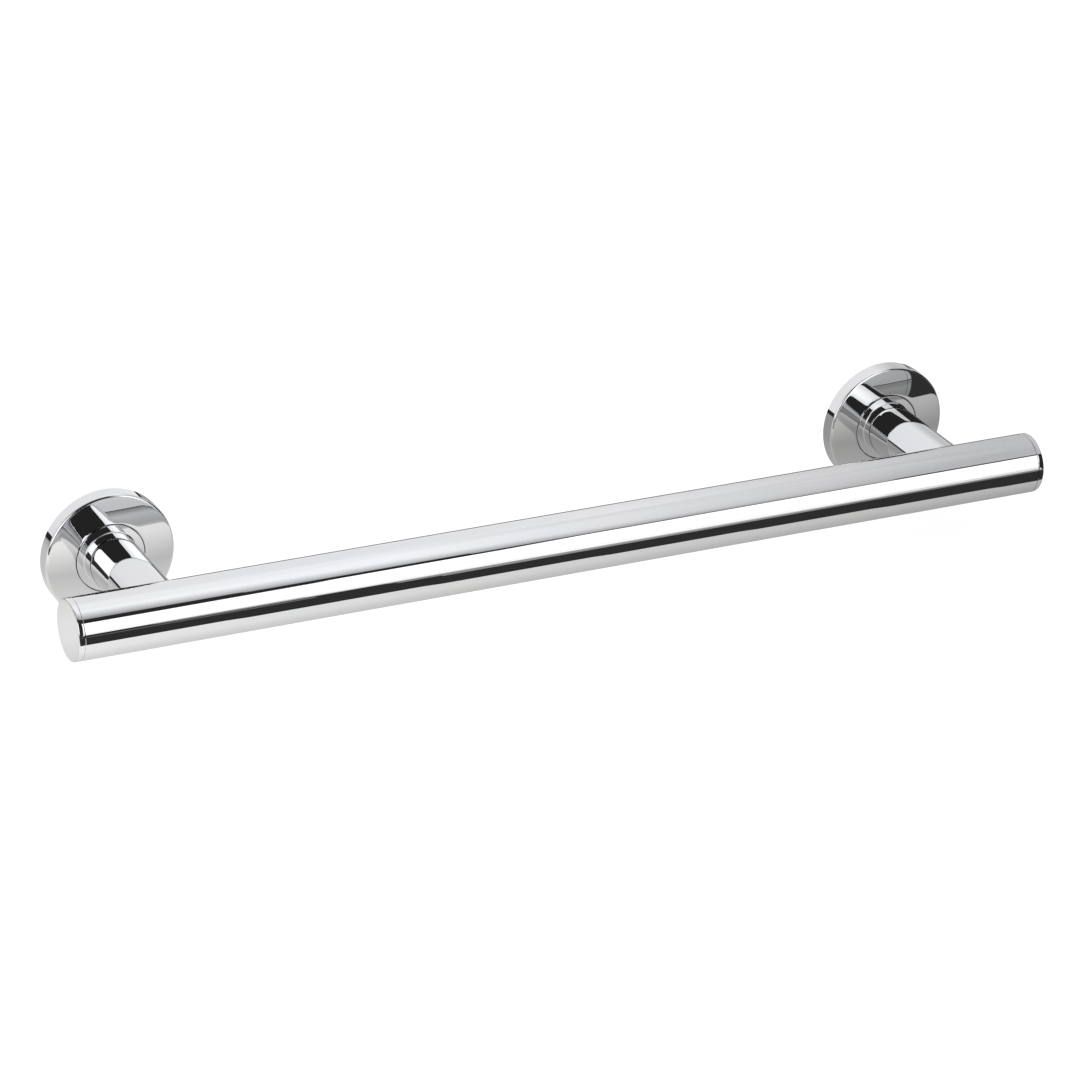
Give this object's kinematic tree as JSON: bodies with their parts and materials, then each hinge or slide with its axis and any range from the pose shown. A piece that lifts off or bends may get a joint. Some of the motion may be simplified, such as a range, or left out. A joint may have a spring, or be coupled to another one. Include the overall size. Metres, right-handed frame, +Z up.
{
  "type": "grab bar",
  "caption": "Straight chrome grab bar: a capped round tube on turned posts with flush feet, held to the wall by plates under round flange covers.",
  "frame": {"origin": "on the wall plane, midway between the two posts, at the height of the bar's axis", "axes": "+X along the bar to the right, +Y into the wall, +Z up"},
  "size_m": [0.547, 0.0935, 0.069],
  "materials": {
    "polished_chrome": "mirror polished chrome plate",
    "plate_steel": "plain stainless sheet",
    "bolt_steel": "zinc plated steel",
    "ring_rubber": "matte black rubber"
  },
  "bodies": {
    "root": {"bar_tube": "polished_chrome", "end_cap_left": "polished_chrome", "post_left": "polished_chrome", "flange_cover_left": "polished_chrome", "wall_plate_left": "plate_steel", "saddle_nut_left": "bolt_steel", "tie_bolt_left": "bolt_steel", "cover_ring_left": "ring_rubber", "end_cap_right": "polished_chrome", "post_right": "polished_chrome", "flange_cover_right": "polished_chrome", "wall_plate_right": "plate_steel", "saddle_nut_right": "bolt_steel", "tie_bolt_right": "bolt_steel", "cover_ring_right": "ring_rubber"}
  },
  "joints": []
}
